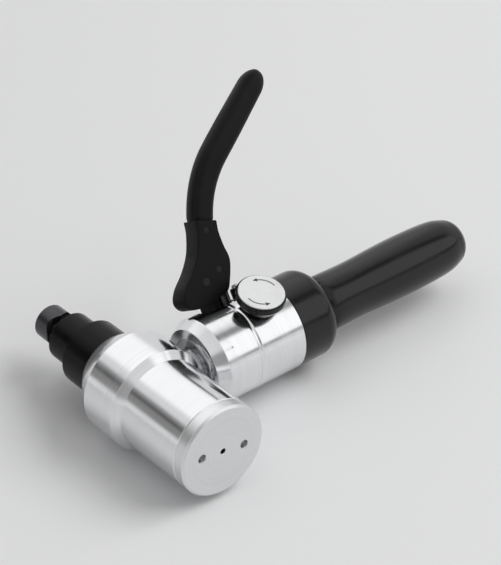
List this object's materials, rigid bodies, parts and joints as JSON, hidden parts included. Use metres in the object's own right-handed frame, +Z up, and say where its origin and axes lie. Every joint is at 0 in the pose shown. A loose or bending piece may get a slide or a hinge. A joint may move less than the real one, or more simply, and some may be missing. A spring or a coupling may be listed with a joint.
{
  "type": "knockout punch",
  "caption": "Hand-hydraulic knockout punch: turned pull cylinder with black die, spacer and punch, on a right-angle swivel pump with lever, release knob and reservoir handle.",
  "frame": {"origin": "centre of the die's face on the draw axis, where the tool meets the sheet", "axes": "+X along the pump axis towards the handle, +Y along the draw axis into the work, +Z up"},
  "size_m": [0.29, 0.1795, 0.1654],
  "materials": {
    "bright_aluminium": "turned and polished",
    "cap_aluminium": "faced, with fine concentric turning marks",
    "black_oxide": "black oxide, satin",
    "tool_steel": "hardened and ground, dark",
    "steel": "ground",
    "spring_steel": "drawn wire",
    "bronze": "machined",
    "seal_rubber": "moulded, matt",
    "lever_black": "black coating, matt",
    "lever_plastic": "moulded, fine grain",
    "knob_plastic": "moulded, satin",
    "grip_plastic": "moulded, satin",
    "disc_silver": "bead blasted, matt silver"
  },
  "bodies": {
    "head": {"cylinder_body": "bright_aluminium", "cylinder_cap": "cap_aluminium", "cap_seal": "seal_rubber", "rod_bush": "bronze", "rod_seal": "seal_rubber", "spacer_sleeve": "black_oxide", "die": "black_oxide", "return_spring": "spring_steel", "swivel_nipple": "steel", "nipple_washer": "steel", "swivel_seals": "seal_rubber"},
    "ram": {"piston": "steel", "piston_seal": "seal_rubber", "draw_stud": "tool_steel", "punch": "tool_steel"},
    "pump": {"swivel_nut": "steel", "pump_body": "bright_aluminium", "outlet_retainer": "bronze", "outlet_spring": "spring_steel", "outlet_ball": "steel", "inlet_spring": "spring_steel", "inlet_ball": "steel", "inlet_seat": "bronze", "suction_strainer": "bronze", "plunger_gland": "steel", "plunger_seal": "seal_rubber", "pivot_lug": "lever_black", "relief_sleeve": "lever_black", "relief_screw": "steel", "release_gland": "steel", "release_ball": "steel", "reservoir_collar": "grip_plastic", "oil_bladder": "seal_rubber", "handle_grip": "grip_plastic", "filler_plug": "knob_plastic", "filler_seal": "seal_rubber"},
    "lever": {"lever_yoke": "lever_black", "lever_handle": "lever_plastic", "handle_pin": "lever_black", "pivot_pin": "lever_black", "link_pin": "lever_black"},
    "plunger": {"plunger": "steel"},
    "release": {"release_spindle": "steel", "spindle_seal": "seal_rubber", "release_knob": "knob_plastic", "knob_screw": "steel", "knob_disc": "disc_silver"}
  },
  "joints": [
    {"name": "ram_slide", "type": "slide", "parent": "head", "child": "ram", "axis": [0, -1, 0], "range_m": [0, 0.02], "stiffness_N_per_m": 2500, "springref_m": -0.015, "deforming": ["return_spring"]},
    {"name": "pump_swivel", "type": "hinge", "parent": "head", "child": "pump", "pos_m": [0, -0.0755, 0], "axis": [1, 0, 0], "continuous": true},
    {"name": "lever_swing", "type": "hinge", "parent": "pump", "child": "lever", "pos_m": [0.064, -0.05165, 0.03816], "axis": [0, 0.848, -0.5299], "range_deg": [0, 50]},
    {"name": "plunger_slide", "type": "slide", "parent": "pump", "child": "plunger", "axis": [0, -0.5299, -0.848], "range_m": [0, 0.01017]},
    {"name": "release_turn", "type": "hinge", "parent": "pump", "child": "release", "pos_m": [0.0848, -0.0755, 0], "axis": [0, -0.2284, 0.9736], "range_deg": [0, 180]}
  ],
  "couplings": [
    {"joint": "plunger_slide", "follows": "lever_swing", "m_per_rad": 0.01164}
  ]
}
